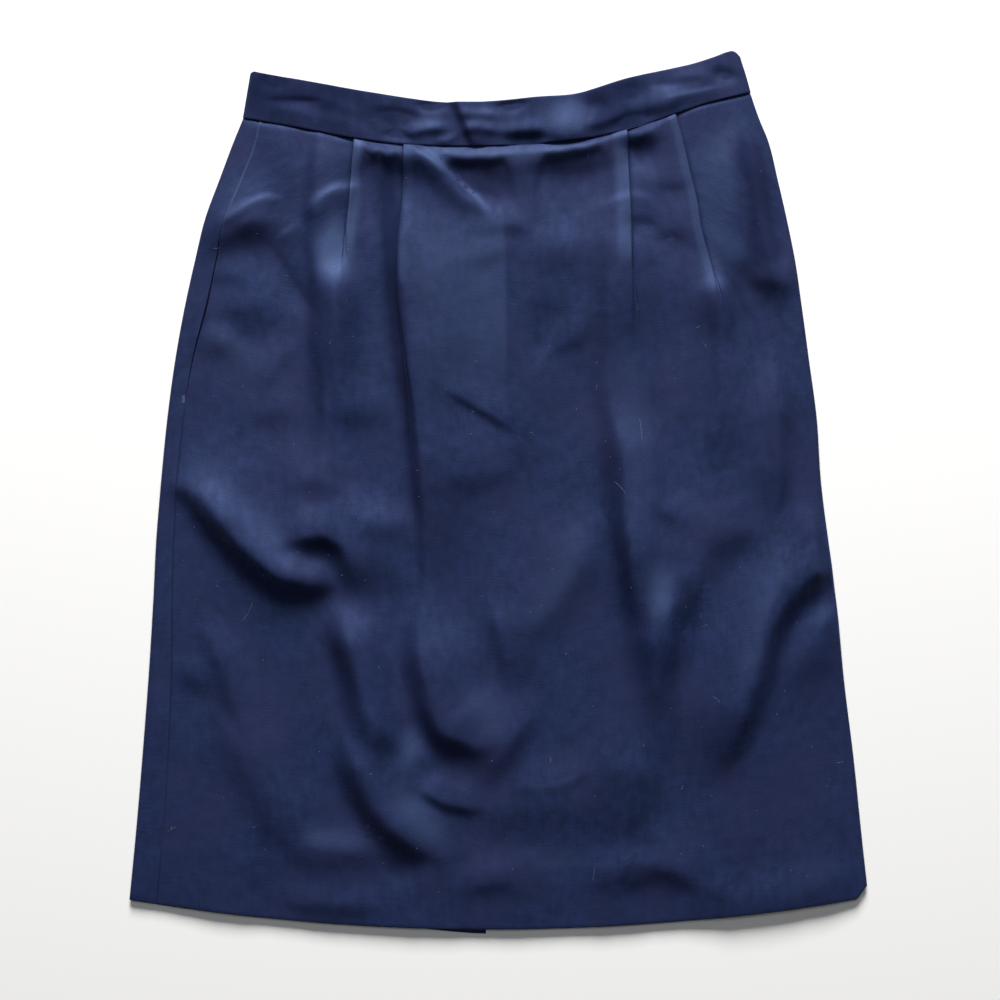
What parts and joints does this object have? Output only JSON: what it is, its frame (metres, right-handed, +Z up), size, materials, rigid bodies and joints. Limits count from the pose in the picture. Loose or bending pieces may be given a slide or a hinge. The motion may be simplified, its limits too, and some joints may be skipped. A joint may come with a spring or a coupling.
{
  "type": "pencil skirt",
  "caption": "Navy wool pencil skirt laid flat on its back, with a waistband, soft front pleats, a side seam pocket, a centre back zip and a back vent.",
  "frame": {"origin": "middle of the flat skirt's box, on the surface that it lies on", "axes": "+X to the right of the front as it lies, +Y from the hem towards the waistband, +Z up, out of the front"},
  "size_m": [0.5315, 0.6343, 0.0139],
  "materials": {
    "navy_wool": "fine worsted wool twill with a slight sheen",
    "pocket_cotton": "plain woven pocketing, dull",
    "zip_tape": "woven polyester tape",
    "zip_metal": "navy lacquered zip metal",
    "button_navy": "polished navy button plastic"
  },
  "bodies": {
    "skirt": {"front_panel": "navy_wool", "back_left": "navy_wool", "back_right": "navy_wool", "waistband": "navy_wool", "pocket_bag": "pocket_cotton", "zip_tape_left": "zip_tape", "zip_tape_right": "zip_tape", "zip_slider": "zip_metal", "waist_button": "button_navy"},
    "pull": {"zip_pull": "zip_metal"}
  },
  "joints": [
    {"name": "pull_swing", "type": "hinge", "parent": "skirt", "child": "pull", "pos_m": [-0.01422, 0.239, 0.0023], "axis": [1, 0, 0], "range_deg": [0, 165]}
  ]
}
